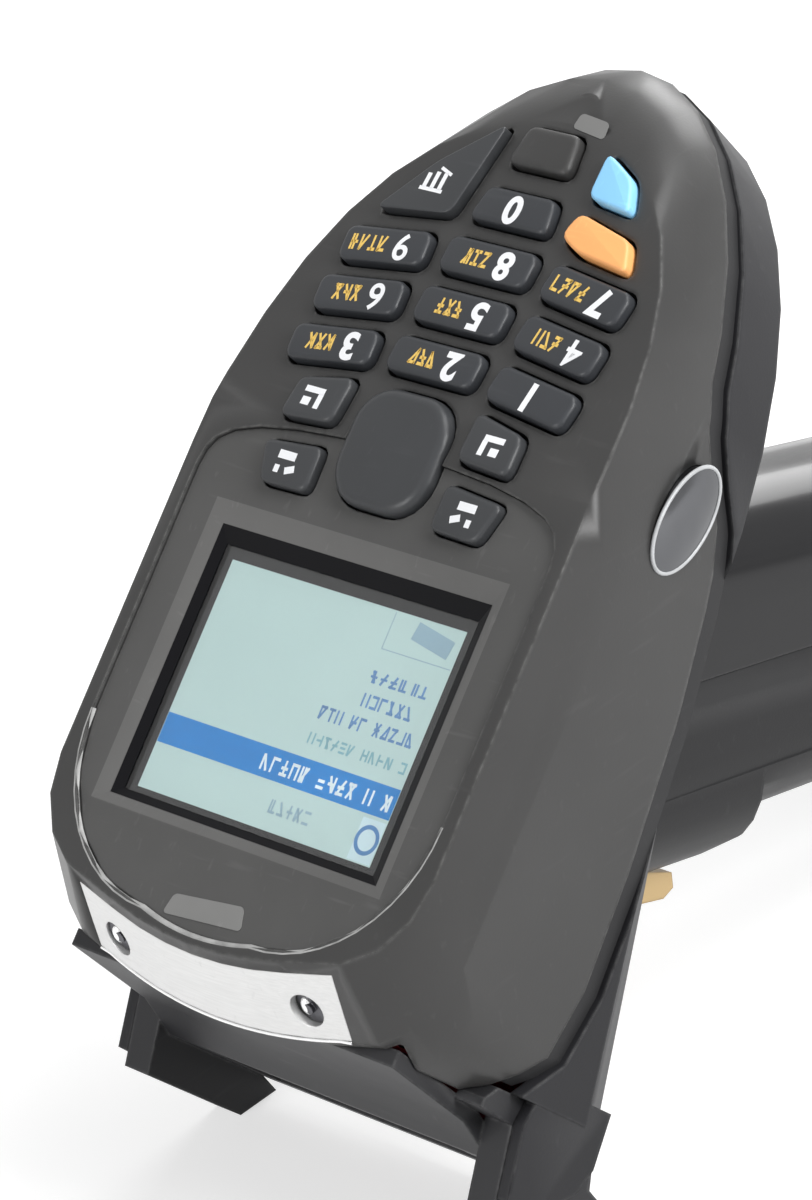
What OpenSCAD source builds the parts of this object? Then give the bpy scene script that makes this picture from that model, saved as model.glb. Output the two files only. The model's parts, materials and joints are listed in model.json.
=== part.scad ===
// Portable barcode data terminal: a long head with a display and a keypad on top, a scan window in
// the nose and a raked pistol grip. It lies on its two nose pads and on the butt of the grip.
// The head is drawn in its own frame: X across, +Y towards the keypad end, +Z out of the display,
// with the origin in the middle of the display. lie() then leans the whole terminal on the table.

/* [Display] */
// Width of the display's lit area
lcd_w = 44.4; // [40:0.1:48]
// Length of the display's lit area
lcd_l = 33.3; // [30:0.1:36]
// Border of the display glass round the lit area
lcd_border = 2; // [1.5:0.1:2.5]
// Thickness of the display glass
lcd_t = 2.4; // [1.5:0.1:3]
// Thickness of the clear display window
lens_t = 0.7; // [0.5:0.05:0.8]
// Width of the bezel panel
bezel_w = 66.4; // [62:0.1:67]
// Thickness of the bezel panel
bezel_t = 1.5; // [1.2:0.1:1.6]
// Depth of the bezel panel below the top of the shell
bezel_step = 0.6; // [0.4:0.05:0.8]

/* [Head] */
// Width of the head at its rim
head_w = 74.4; // [72:0.2:80]
// Height of the top of the shell above the display
top_z = 2.8; // [2.4:0.1:3.2]
// Distance from the display's middle to the keypad end
rear_y = 99.5; // [94:0.5:106]
// Distance from the display's middle to the nose
nose_y = 39; // [37:0.5:41]
// Tilt of the keypad plane
key_tilt = 7.5; // [6:0.5:9]
// Wall thickness of the shells
wall = 2.2; // [1.8:0.1:2.6]
// Height of the black band between the shells
band_h = 3; // [2:0.25:3.5]
// How far the base of the head stands out beyond the shell
base_flare = 0.8; // [0.4:0.1:1.2]

/* [Keys] */
// Travel of a key
key_travel = 0.8; // [0.5:0.1:0.9]
// Height of a key above the panel
key_proud = 1.5; // [1.2:0.1:2]
// Gap between a key and its hole
key_gap = 0.35; // [0.3:0.05:0.45]
// Width of a digit key
digit_w = 15; // [13:0.25:16]
// Length of a digit key
digit_l = 5.4; // [5:0.1:5.8]
// Distance between the columns of digit keys
column_pitch = 18.6; // [17.5:0.1:19.5]
// Distance between the rows of digit keys
row_pitch = 7.8; // [7.5:0.1:8.2]
// Width of the navigation pad
nav_w = 17.4; // [16:0.2:18]
// Length of the navigation pad
nav_l = 17; // [15:0.2:17.4]

/* [Nose] */
// Width of the silver contact strip
strip_w = 48.4; // [44:0.2:50]
// Height of the silver contact strip
strip_h = 8.6; // [7:0.1:8.8]
// Thickness of the silver contact strip
strip_t = 1.2; // [1:0.1:1.4]
// Diameter of the contact recesses
recess_d = 5.2; // [4.8:0.1:5.6]
// Distance between the two contact recesses
recess_pitch = 36.4; // [34:0.2:38]
// Distance between the inner faces of the nose cheeks
cheek_gap = 62; // [60:0.5:64]
// How far the cheeks reach forward of the display's middle
cheek_y = 51.6; // [50:0.2:53]
// Width of the scan window
window_w = 50; // [44:0.5:54]
// Height of the scan window
window_h = 17; // [14:0.5:18]
// Thickness of the scan window
window_t = 1.5; // [1.2:0.1:2]

/* [Grip] */
// Rake of the grip
rake = 32; // [30:0.5:34]
// Length of the grip below the head
grip_l = 139; // [134:1:144]
// Width of the grip
grip_w = 34; // [32:0.5:37]
// Wall thickness of the grip
grip_wall = 2.2; // [1.8:0.1:2.4]
// Width of the trigger
trigger_w = 10; // [8:0.5:12]
// Diameter of the trigger's pin
pin_d = 3; // [2.5:0.1:3.5]
// Width of the battery
battery_w = 22; // [20:0.5:24]
// Depth of the battery, front to rear
battery_d = 32; // [28:0.5:33]
// Length of the battery
battery_l = 76; // [70:1:80]
// Thickness of the hinged butt door
door_t = 5; // [4:0.25:6]
// Diameter of the butt door's hinge pin
hinge_d = 2.4; // [2:0.1:2.8]

/* [Stance] */
// Lean at which the nose pads and the butt all touch the table
lean = 43; // [42:0.1:44]

/* [Hidden] */
$fn = 40;

// Thickness of the slices that a hull spans
skin = 0.02;
// Larger than the whole terminal
big = 400;
// Shared clearances
fit = 0.1;
slip = 0.3;
pin_play = 0.05;

// Head
side = head_w / 2;
break_y = 37;
widest_y = 20;
side_power = 2.3;
top_power = 3.2;
top_wall = wall + 1;
seam_rear = -13.5;
bezel_top = top_z - bezel_step;
bezel_under = bezel_top - bezel_t;
lcd_top = bezel_under - fit - lens_t;
lcd_half = [lcd_w / 2, lcd_l / 2];
glass_half = [lcd_half[0] + lcd_border, lcd_half[1] + lcd_border];
lens_half = [glass_half[0] + 1, glass_half[1] + 1];
tray_t = 2.6;
tray_z = lcd_top - lcd_t - fit - tray_t;
mat_top = top_wall + fit;
mat_t = 1.2;
board_t = 1.4;
board_z = -12;

// Nose
cheek_in = cheek_gap / 2;
cheek_out = side - 1.2;
nose_back = -nose_y + 2.8;
nose_top = -9;
hood_y = -nose_y - 6.2;
hood_wall = 2.4;
window_z = -44;
table_a = [-cheek_y, -54.4];
table_b = [table_a[0] + 5.3, table_a[1] - 5.3 * tan(lean)];

// Grip, in its own frame with its top at grip_foot
grip_foot = [10.5, -34];
housing_front = -28;
housing_foot = -32;
grip_front = -23.6;
grip_rear = 25.5;
butt_front = -21;
butt_rear = 22.5;
belly_z = -37.5;
keel_front = [-nose_y, -52.5];
keel_rear = [13, -36];
keel_slope = (keel_rear[1] - keel_front[1]) / (keel_rear[0] - keel_front[0]);
keel_meets = keel_rear[0] + (belly_z - keel_rear[1]) / keel_slope;
trigger_pivot = [-19, -13];
back_t = 1.2;
back_y = 3.4;
battery_top = -grip_l + 8 + battery_l;
hinge_at = [butt_rear + 3, -grip_l - door_t / 2];
knuckle_r = hinge_d / 2 + 1.5;
lock_y = -9;
lock_r = 4;

// Height of the cheek pads' corner below the display's middle, once leaned
rest_z = table_a[0] * sin(lean) + table_a[1] * cos(lean);
// Foremost and rearmost points of the leaned terminal: the nose's top edge and the door's hinge
front_at = (4.7 - nose_y) * cos(lean) - top_z * sin(lean);
rear_at = grip_foot[0] * cos(lean) - grip_foot[1] * sin(lean) + hinge_at[0] * cos(lean + rake)
    - hinge_at[1] * sin(lean + rake) + knuckle_r;

// ---- outlines ----

function nose_arc(front, bulge, half, n) =
    [for (i = [0 : n - 1]) let (x = half * i / n) [x, front - bulge * (1 - pow(x / half, 2))]];

function corner_arc(half, front, r, n) =
    [for (i = [0 : n]) let (a = -90 + 90 * i / n) [half - r + r * cos(a), front + r + r * sin(a)]];

function rear_arc(half, tip, power, n) =
    [for (i = [0 : n]) let (t = sin(90 * i / n))
        [half * sqrt(max(0, 1 - pow(t, power))), widest_y + (tip - widest_y) * t]];

function mirrored(right) =
    concat(right, [for (i = [len(right) - 2 : -1 : 1]) [-right[i][0], right[i][1]]]);

// Plan of the head: a bulged nose, round corners, straight sides and an egg-shaped keypad end
function plan(half, tip, power, front, bulge, r) =
    mirrored(concat(nose_arc(front, bulge, half - r, 4), corner_arc(half, front, r, 4),
        rear_arc(half, tip, power, 10)));

function rounded_box(w, l, r, n = 4) =
    [for (c = [[1, -1, -90], [1, 1, 0], [-1, 1, 90], [-1, -1, 180]], i = [0 : n])
        let (a = c[2] + 90 * i / n)
        [c[0] * (w / 2 - r) + r * cos(a), c[1] * (l / 2 - r) + r * sin(a)]];

function oval(a, b, n) = [for (i = [0 : n - 1]) [a * cos(360 * i / n), b * sin(360 * i / n)]];

function normal(a, b) = [b[1] - a[1], a[0] - b[0]] / norm(b - a);

// Convex outline moved outwards by d, listed anticlockwise
function grown(pts, d) =
    [for (i = [0 : len(pts) - 1])
        let (n = len(pts), p = pts[i], before = normal(pts[(i + n - 1) % n], p),
            after = normal(p, pts[(i + 1) % n]))
        p + d * (before + after) / (1 + before * after)];

// Convex outline with its corners cut back to arcs of about radius r
function softened(pts, r, n = 3) =
    [for (i = [0 : len(pts) - 1])
        let (m = len(pts), p = pts[i], a = pts[(i + m - 1) % m] - p, b = pts[(i + 1) % m] - p,
            p0 = p + r * a / norm(a), p1 = p + r * b / norm(b))
        for (j = [0 : n]) let (t = j / n) pow(1 - t, 2) * p0 + 2 * t * (1 - t) * p + t * t * p1];

// ---- placing ----

module lie() {
    translate([0, -(front_at + rear_at) / 2, -rest_z]) rotate([lean, 0, 0]) children();
}

module on_keys() {
    translate([0, break_y, top_z]) rotate([-key_tilt, 0, 0]) translate([0, -break_y, 0]) children();
}

module on_grip() {
    translate([0, grip_foot[0], grip_foot[1]]) rotate([rake, 0, 0]) children();
}

// A side profile, given as [y, z] points, that reaches from x = from to x = to
module across(from, to, pts) {
    translate([from, 0, 0]) rotate([90, 0, 90]) linear_extrude(to - from) polygon(pts);
}

module both_sides() {
    children();
    mirror([1, 0, 0]) children();
}

module slice(z, pts) {
    translate([0, 0, z]) linear_extrude(skin) polygon(pts);
}

// A slice that is level over the display and bends down with the keypad plane
module bent_slice(z, pts) {
    translate([0, 0, z]) linear_extrude(skin) intersection() {
        polygon(pts);
        translate([-big / 2, break_y - big]) square(big);
    }
    translate([0, 0, z - top_z]) on_keys() linear_extrude(skin) intersection() {
        polygon(pts);
        translate([-big / 2, break_y]) square(big);
    }
}

// ---- head volumes ----

// Outer volume of the head, moved inwards by d and its top lowered by top_d
module head_volume(d, top_d) {
    hull() {
        bent_slice(top_z - top_d - skin,
            plan(side - 1.6 - d, rear_y - 11.5 - d, top_power, -nose_y + 8 + d, 3.3, 15));
        bent_slice(top_z - 5,
            plan(side - 0.2 - d, rear_y - 2 - d, side_power, -nose_y + 6.5 + d, 3.2, 17));
        slice(-7.5, plan(side - d, rear_y - 4 - d, side_power, -nose_y + 0.7 + d, 3.3, 14));
        slice(seam_rear, plan(side - d, rear_y - d, side_power, -nose_y + d, 2.6, 9));
        slice(-36, plan(side - d, rear_y - d, side_power, -nose_y + d, 2.6, 9));
    }
}

// Volume behind the sloped face of the nose, moved inwards by d
module nose_face(d) {
    hull() {
        slice(top_z - skin, plan(side - 1.6 - d, 30, side_power, -nose_y + 8 + d, 3.3, 15));
        slice(-7.5, plan(side - d, 30, side_power, -nose_y + 0.7 + d, 3.3, 14));
    }
}

module strip_zone(grow) {
    translate([-strip_w / 2 - grow, -nose_y - 10, -7.4 - grow])
        cube([strip_w + 2 * grow, 30, strip_h + 2 * grow]);
}

// Everything below the seam of the upper shell, lowered by drop
module below_seam(drop) {
    across(-big / 2, big / 2, [[big, seam_rear - drop], [60, seam_rear - drop],
        [54, seam_rear - 1.5 - drop], [48, seam_rear - 5 - drop], [43, seam_rear - 8.6 - drop],
        [37, seam_rear - 11 - drop], [17, seam_rear - 15 - drop], [-3, seam_rear - 17.5 - drop],
        [-20, seam_rear - 18.4 - drop], [-30, seam_rear - 16.5 - drop],
        [-nose_y + 1, seam_rear - 9 - drop], [-nose_y - 9, seam_rear - 4 - drop],
        [-nose_y - 9, -big], [big, -big]]);
}

// Outer volume of the lower half of the head, moved inwards by d
module base_volume(d) {
    hull() {
        slice(seam_rear, plan(side + base_flare - d, rear_y + 0.4 - d, side_power, -70, 2, 9));
        slice(-26.5, plan(side + base_flare - d, rear_y - 2 - d, side_power, -70, 2, 9));
        slice(-31 + d, plan(side - 7 - d, rear_y - 14 - d, side_power, -70, 2, 9));
        translate([0, 17, 0]) slice(belly_z + d, rounded_box(46 - 2 * d, 62 - 2 * d, 9 - d));
    }
    hull() {
        across(-side - base_flare + d, side + base_flare - d,
            [[-70, -20], [16, -20], [16, -28 + d], [-70, -51 + d]]);
        across(-side + 5 + d, side - 5 - d,
            [[-70, -20], [keel_rear[0], -20], keel_rear + [0, d], keel_front + [0, d],
                [-70, -60 + d]]);
    }
}

// Outline of the cheeks that the nose stands on, and of the base's plates outside them
cheek_profile = [[nose_back, -24.6], [-nose_y + 0.8, -22.8], [-nose_y - 0.5, -22.8],
    [-nose_y - 1, -30], [-cheek_y, -33.4], table_a, table_b, [table_b[0] + 2.8, -50],
    [nose_back, -47.5]];
plate_profile = [[nose_back + 3, -31], [-nose_y - 0.5, -30], [-cheek_y + 2.1, -32.8],
    [-cheek_y + 1.8, -39], [-nose_y - 6, -45.5], [-nose_y - 2, -47], [nose_back + 3, -46]];

// ---- display ----

module upper_shell() {
    color("#3b3b3d") lie() {
        difference() {
            head_volume(0, 0);
            head_volume(wall, top_wall);
            below_seam(0);
            translate([-cheek_in - slip, -big, nose_top - big + 0.4])
                cube([2 * (cheek_in + slip), big + nose_back, big]);
            difference() {
                strip_zone(fit);
                nose_face(strip_t);
            }
            translate([0, 0, bezel_under])
                linear_extrude(big) polygon(bezel_plan(-fit));
            translate([0, 0, -big / 2])
                linear_extrude(big) square(2 * (lens_half + [slip, slip]), center = true);
            for (k = keys_on_plane) on_keys() drafted(k, key_gap);
            both_sides() key_prism(side_lower, key_gap, -6, 6);
            nav_prism(key_gap, -6, 6);
            both_sides() side_lens_prism(fit);
            for (x = [-1, 1]) on_strip(x, -8) cylinder(d = recess_d, h = 12);
        }
        for (p = head_screws_at) head_boss(p);
    }
}

// Screws of the head: where each stands, the foot and the top of its boss and the seat of its head
screw_inset = 6.2;
head_screws_at = [[side - screw_inset, -12, -24, top_z - top_wall + 0.2, -40],
    [-side + screw_inset, -12, -24, top_z - top_wall + 0.2, -40], [0, rear_y - 9.5, -15, -6, -24]];
screw_r = 1;
boss_r = 2.8;

// Opening for a key, a little wider at its top than at its foot
module drafted(pts, gap) {
    hull() {
        key_prism(pts, gap, -6, -6 + skin);
        key_prism(pts, gap + 0.3, 6 - skin, 6);
    }
}

module head_boss(s) {
    difference() {
        translate([s[0], s[1], s[2]]) cylinder(r = boss_r, h = s[3] - s[2]);
        translate([s[0], s[1], s[2] - 1]) cylinder(r = screw_r + 0.02, h = 8.4);
    }
}

function bezel_plan(d) = plan(bezel_w / 2 - d, 36.6 - d, 7, -31.8 + d, 1.3, 23);

module display_bezel() {
    color("#2c2d2f") lie() difference() {
        translate([0, 0, bezel_under]) linear_extrude(bezel_t) polygon(bezel_plan(0));
        hull() {
            translate([-lcd_half[0] - 1.6, -lcd_half[1] - 0.9, bezel_under - skin])
                cube([lcd_w + 3.2, lcd_l + 2.6, skin]);
            translate([-lcd_half[0] - 5.4, -lcd_half[1] - 3.6, bezel_top])
                cube([lcd_w + 10.8, lcd_l + 11, skin]);
        }
        both_sides() key_prism(side_lower, key_gap, -6, 6);
        nav_prism(key_gap, -6, 6);
    }
}

module display_window() {
    color("#9fb5b0") lie() translate([-lens_half[0], -lens_half[1], lcd_top + fit / 2])
        cube([2 * lens_half[0], 2 * lens_half[1], lens_t]);
}

module lcd_panel() {
    color("#a9c0b8") lie() translate([-glass_half[0], -glass_half[1], lcd_top - lcd_t])
        cube([2 * glass_half[0], 2 * glass_half[1], lcd_t]);
}

module lcd_tray() {
    color("#d9d9d4") lie() difference() {
        translate([-glass_half[0] - 1.4, -glass_half[1] - 1.4, tray_z])
            cube([2 * glass_half[0] + 2.8, 2 * glass_half[1] + 2.8, tray_t]);
        translate([-glass_half[0] + 3, -glass_half[1] + 3, tray_z + tray_t - 1])
            cube([2 * glass_half[0] - 6, 2 * glass_half[1] - 6, tray_t]);
        for (p = head_screws_at) translate([p[0], p[1], -big / 2]) cylinder(r = boss_r + slip, h = big);
    }
}

// ---- keys ----

function turned(pts, a, at) =
    [for (p = pts) [p[0] * cos(a) - p[1] * sin(a), p[0] * sin(a) + p[1] * cos(a)] + at];

// Column 0 is in the middle; the outer columns lean outwards
function digit_key(column, row) =
    turned(rounded_box(digit_w + 1 - abs(column), digit_l, 1.5), -7 * column,
        [column * column_pitch, first_row - 1.3 * abs(column) + row * row_pitch]);

first_row = 49.8;
corner_r = 1.4;
side_upper = softened([[11.8, 37.5], [21.3, 36.9], [20.8, 43], [11.6, 44.7]], corner_r);
side_lower = softened([[11.6, 27.7], [20.4, 27.5], [22.3, 33.5], [11.7, 34.4]], corner_r);
zero_key = softened([[-7.2, 70.9], [7.2, 70.9], [6.2, 76.2], [-6.2, 76.2]], corner_r);
plain_key = softened([[-5.6, 79.9], [5.6, 79.9], [4.6, 86], [-4.6, 86]], corner_r);
power_key = softened([[-23.5, 69.2], [-10.4, 70.7], [-8.4, 85.4], [-17, 77.8]], corner_r);
blue_key = softened([[10.9, 77.7], [19, 76.7], [16.7, 81.5], [10.5, 84.6]], corner_r);
orange_key = softened([[13.5, 69.7], [23.4, 68.4], [21.4, 73], [11.1, 75.3], [9.8, 71.5]], corner_r);

function flipped(pts) = [for (i = [len(pts) - 1 : -1 : 0]) [-pts[i][0], pts[i][1]]];

keys_on_plane = [digit_key(1, 0), digit_key(0, 0), digit_key(-1, 0), digit_key(1, 1),
    digit_key(0, 1), digit_key(-1, 1), digit_key(1, 2), digit_key(0, 2), digit_key(-1, 2),
    zero_key, side_upper, flipped(side_upper), power_key, plain_key, blue_key, orange_key];

module key_prism(pts, grow, low, high) {
    translate([0, 0, low]) linear_extrude(high - low) polygon(grown(pts, grow));
}

module plane_key(pts) {
    lie() on_keys() key_prism(pts, 0, -mat_top + key_travel + fit, key_proud);
}

module bezel_key(pts) {
    lie() key_prism(pts, 0, top_z - mat_top + key_travel + fit, bezel_top + key_proud);
}

module key_1() { color("#46494f") plane_key(digit_key(1, 0)); }
module key_2() { color("#46494f") plane_key(digit_key(0, 0)); }
module key_3() { color("#46494f") plane_key(digit_key(-1, 0)); }
module key_4() { color("#46494f") plane_key(digit_key(1, 1)); }
module key_5() { color("#46494f") plane_key(digit_key(0, 1)); }
module key_6() { color("#46494f") plane_key(digit_key(-1, 1)); }
module key_7() { color("#46494f") plane_key(digit_key(1, 2)); }
module key_8() { color("#46494f") plane_key(digit_key(0, 2)); }
module key_9() { color("#46494f") plane_key(digit_key(-1, 2)); }
module key_0() { color("#46494f") plane_key(zero_key); }
module key_left_upper() { color("#3f4247") plane_key(side_upper); }
module key_right_upper() { color("#3f4247") plane_key(flipped(side_upper)); }
module key_left_lower() { color("#3f4247") bezel_key(side_lower); }
module key_right_lower() { color("#3f4247") bezel_key(flipped(side_lower)); }
module key_power() { color("#3f4247") plane_key(power_key); }
module key_plain() { color("#3b3b3d") plane_key(plain_key); }
module key_blue() { color("#7fc4f2") plane_key(blue_key); }
module key_orange() { color("#f6a05c") plane_key(orange_key); }

nav_y = 36.4;

module nav_prism(grow, low, high) {
    translate([0, nav_y, low]) linear_extrude(high - low)
        polygon(rounded_box(nav_w + 2 * grow, nav_l + 2 * grow, 6 + grow, 6));
}

module nav_pad() {
    color("#33363b") lie() nav_prism(0, top_z - mat_top + key_travel + fit, top_z + key_proud - 0.3);
}

// A sheet under the keys, from depth to depth + t below the top of the shell
module key_sheet(inset, depth, t) {
    front = lens_half[1] + 3.4;
    translate([-side + wall + inset + 4, front, top_z - depth - t])
        cube([2 * (side - wall - inset - 4), break_y - front - 1, t]);
    on_keys() translate([0, 0, -depth - t]) linear_extrude(t) intersection() {
        polygon(plan(side - wall - inset - 3.2, rear_y - 14 - inset, top_power, 0, 2, 9));
        translate([-big / 2, break_y + 0.2]) square(big);
    }
    translate([-10, break_y - 1, top_z - depth - t]) cube([20, 1.4, t]);
}

module keypad_mat() {
    color("#232427") lie() difference() {
        key_sheet(0, mat_top, mat_t);
        for (p = head_screws_at) translate([p[0], p[1], -big / 2]) cylinder(r = boss_r + slip, h = big);
    }
}

module keypad_board() {
    color("#1f5c3a") lie() difference() {
        key_sheet(1, mat_top + mat_t + fit, board_t);
        for (p = head_screws_at) translate([p[0], p[1], -big / 2]) cylinder(r = boss_r + slip, h = big);
    }
}

// ---- nose ----

strip_slope = 54.7;
strip_at = [-nose_y + 2.2, -3.6];

// Places something square to the strip's face over contact x, at height h above the face
module on_strip(x, h) {
    translate([x * recess_pitch / 2, strip_at[0], strip_at[1]])
        rotate([strip_slope, 0, 0]) translate([0, 0, h]) children();
}

module contact_strip() {
    color("#d8d8d6") lie() difference() {
        intersection() {
            nose_face(0);
            strip_zone(0);
        }
        nose_face(strip_t);
        for (x = [-1, 1]) on_strip(x, -8) cylinder(d = recess_d, h = 12);
    }
}

module contact_screws() {
    color("#8f9194") lie() for (x = [-1, 1]) {
        on_strip(x, -2.8) cylinder(d = recess_d - 2 * fit, h = 1.8);
        on_strip(x, -5) cylinder(r = 0.8, h = 4.6);
    }
}

module scan_hood() {
    color("#55585b") lie() {
        both_sides() across(cheek_in, cheek_out - fit, cheek_profile);
        difference() {
            across(-cheek_in, cheek_in, [[-nose_y - 0.4, nose_top], [-nose_y - 3, -26.6],
                [hood_y, -34], [hood_y, -57.4], [nose_back, -53.2], [nose_back, -50.8],
                [hood_y + hood_wall, -54.6], [hood_y + hood_wall, -35.2],
                [-nose_y - 0.6, -27.6], [-nose_y + 2, nose_top]]);
            translate([-window_w / 2 + 1, hood_y - 1, window_z - window_h / 2 + 1])
                cube([window_w - 2, hood_wall + 2, window_h - 2]);
        }
    }
}

module scan_window() {
    color("#3a0f12") lie() translate([-window_w / 2, hood_y + hood_wall + fit, window_z - window_h / 2])
        cube([window_w, window_t, window_h]);
}

engine_w = 22;
engine_l = 14;
engine_h = 12;
engine_at = [0, -28.5, -38];

module scan_engine() {
    color("#202124") lie() {
        translate(engine_at - [engine_w / 2, engine_l / 2, engine_h / 2])
            cube([engine_w, engine_l, engine_h]);
        translate(engine_at + [-4, -engine_l / 2 - 1.5, 0]) rotate([-90, 0, 0])
            cylinder(d = 9, h = 2);
    }
}

bracket_t = 1.6;

module engine_bracket() {
    color("#b9bcc0") lie() {
        translate(engine_at + [-engine_w / 2, -engine_l / 2, engine_h / 2 + fit])
            cube([engine_w, engine_l, bracket_t]);
        for (x = [-1, 1])
            translate([x * (engine_w / 2 - 3) - 2, engine_at[1] - 4, engine_at[2] + engine_h / 2 + fit])
                cube([4, 8, board_z - fit - engine_at[2] - engine_h / 2 - fit]);
    }
}

// ---- head base ----

module shell_gasket() {
    color("#101012") lie() difference() {
        head_volume(0.3, 0.3);
        head_volume(wall + 0.3, wall + 0.3);
        below_seam(band_h);
        difference() {
            translate([-big / 2, -big / 2, -big / 2]) cube(big);
            below_seam(0);
        }
        translate([-big / 2, -big + nose_back + 1, -big / 2]) cube(big);
    }
}

module head_base() {
    color("#2a2a2c") lie() {
        difference() {
            union() {
                intersection() {
                    difference() {
                        base_volume(0);
                        base_volume(wall);
                        translate([-big / 2, -big + nose_back, -big / 2]) cube(big);
                        translate([-10, grip_foot[0] - 14, -50]) cube([20, 24, 30]);
                    }
                    below_seam(band_h);
                }
                intersection() {
                    base_volume(0.5);
                    for (s = head_screws_at) translate([s[0], s[1], s[2] - fit]) hull() {
                        translate([0, 0, -skin]) cylinder(r = boss_r + 0.6, h = skin);
                        translate([0, 0, -30]) cylinder(r = boss_r + 1.2, h = skin);
                    }
                }
            }
            for (s = head_screws_at) {
                translate([s[0], s[1], s[4] - 1]) cylinder(r = screw_r + 0.15, h = 60);
                translate([s[0], s[1], s[4] - 60]) cylinder(r = screw_r * 2 + 0.3, h = 60);
            }
        }
        both_sides() across(cheek_out, side + base_flare - 0.1, plate_profile);
    }
}

module head_screws() {
    color("#9a9ca0") lie() for (s = head_screws_at) {
        translate([s[0], s[1], s[4]]) cylinder(r = screw_r, h = s[2] + 7 - s[4]);
        translate([s[0], s[1], s[4] - 1.6]) cylinder(r = 2 * screw_r, h = 1.6);
    }
}

module side_lens_prism(grow) {
    translate([side - 3.4 - grow, 41.5, seam_rear - 1.1]) rotate([90, 0, 90])
        linear_extrude(3.2 + 4 * grow) rotate(-12) polygon(oval(7.8 + grow, 4.6 + grow, 32));
}

module side_lens_left() {
    color("#4a4c4f") lie() side_lens_prism(0);
}

module side_lens_right() {
    color("#4a4c4f") lie() mirror([1, 0, 0]) side_lens_prism(0);
}

// ---- electronics in the head ----

board_thick = 1.6;
board_half = side - screw_inset - boss_r - 1.2;

module main_board() {
    color("#1f5c3a") lie() {
        translate([-board_half, -24, board_z]) cube([2 * board_half, 74, board_thick]);
        translate([-15, 49, board_z]) cube([30, 30, board_thick]);
        for (x = [-1, 1]) translate([x * 20 - 1.5, -8, board_z + board_thick])
            cube([3, 16, tray_z - fit - board_z - board_thick]);
    }
}

module radio_card() {
    color("#c9ccd0") lie() translate([-11, 24, board_z + board_thick]) cube([22, 24, 2.2]);
}

module beeper() {
    color("#151515") lie() translate([0, 66, board_z + board_thick]) cylinder(r = 6, h = 2.2);
}

// ---- grip ----

// Outline across the grip from its front to its rear
function grip_section(front, rear, w, r) =
    [for (p = rounded_box(w, rear - front, r, 6)) p + [0, (front + rear) / 2]];

// The grip's outer volume from the head to the butt, moved inwards by d
module handle_volume(d) {
    hull() {
        slice(24, grip_section(grip_front + d, grip_rear + 3 - d, grip_w - 2 * d, 14 - d));
        slice(-48, grip_section(grip_front + 0.8 + d, grip_rear - d, grip_w - 2 * d, 14 - d));
        slice(-grip_l, grip_section(butt_front + d, butt_rear - d, grip_w - 1 - 2 * d, 14 - d));
    }
}

// The handle with the housing that stands out in front of it round the trigger
module grip_volume(d) {
    handle_volume(d);
    intersection() {
        translate([0, 0, housing_foot - 9]) linear_extrude(33 - housing_foot)
            polygon(grip_section(housing_front + d, 6 - d, grip_w - 1.2 - 2 * d, 14 - d));
        across(-big / 2, big / 2, [[housing_front - 1, 30], [housing_front - 1, housing_foot + d / 2],
            [housing_front + d, housing_foot + d / 2], [grip_front + d, housing_foot - 9],
            [2 - d, housing_foot - 9], [2 - d, 30]]);
    }
}

module back_zone(grow) {
    translate([-big / 2, back_y - grow, -112 - grow]) cube([big, big, 104 + 2 * grow]);
}

// The whole grip before it is split into its two halves
module grip_shell() {
    difference() {
        grip_volume(0);
        grip_volume(grip_wall);
        difference() {
            back_zone(0);
            handle_volume(back_t);
        }
        translate([-trigger_w / 2 - slip, -big - 14, housing_foot - 9])
            cube([trigger_w + 2 * slip, big, 36]);
        translate([-big / 2, -big / 2, -grip_l - big]) cube(big);
    }
}

// The head's underside, seen from the grip's own frame
module head_cut() {
    rotate([-rake, 0, 0]) translate([0, -grip_foot[0], -grip_foot[1]])
        across(-50, 50, [keel_front, [keel_meets, belly_z], [48, belly_z], [rear_y - 14, -31],
            [rear_y, 60], [keel_front[0], 60]]);
}

module grip_half() {
    lie() on_grip() difference() {
        union() {
            difference() {
                grip_shell();
                head_cut();
            }
            intersection() {
                grip_volume(1.5);
                union() {
                    translate([trigger_w / 2 + 3.4, trigger_pivot[0], trigger_pivot[1]])
                        rotate([0, 90, 0]) cylinder(r = pin_d / 2 + 1.8, h = grip_w);
                    for (y = [-8, 9]) translate([battery_w / 2 + slip, y, -grip_l + 10])
                        cube([grip_w, 1.4, battery_l - 6]);
                    for (s = grip_dowels_at) translate([0, s[0], s[1]])
                        rotate([0, 90, 0]) cylinder(r = 2.8, h = grip_w);
                }
            }
            hinge_lug();
        }
        translate([-big, -big / 2, -big / 2]) cube(big);
        translate([-big / 2, trigger_pivot[0], trigger_pivot[1]])
            rotate([0, 90, 0]) cylinder(d = pin_d + 0.04, h = big / 2 + grip_w / 2 - 3.1);
        for (s = grip_dowels_at) translate([-1, s[0], s[1]])
            rotate([0, 90, 0]) cylinder(r = screw_r + 0.02, h = grip_w / 2 - 1.5);
        translate([-big / 2, hinge_at[0], hinge_at[1]])
            rotate([0, 90, 0]) cylinder(d = hinge_d + 0.04, h = big);
    }
}

// Dowels that hold the two halves of the grip together: place along the grip
grip_dowels_at = [[14, -26], [14, battery_top + 11]];

module hinge_lug() {
    across(6.4, 11, [[butt_rear - 1.8, -grip_l + 9], [butt_rear - 1.8, -grip_l + 0.1],
        [butt_rear + 0.4, -grip_l + 0.1], [hinge_at[0] - knuckle_r, hinge_at[1]],
        [hinge_at[0], hinge_at[1]], [hinge_at[0] + knuckle_r, hinge_at[1]],
        [butt_rear + 1.6, -grip_l + 9]]);
    translate([6.4, hinge_at[0], hinge_at[1]]) rotate([0, 90, 0]) cylinder(r = knuckle_r, h = 4.6);
}

module grip_right() {
    color("#333436") mirror([1, 0, 0]) grip_half();
}

module grip_left() {
    color("#333436") grip_half();
}

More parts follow.
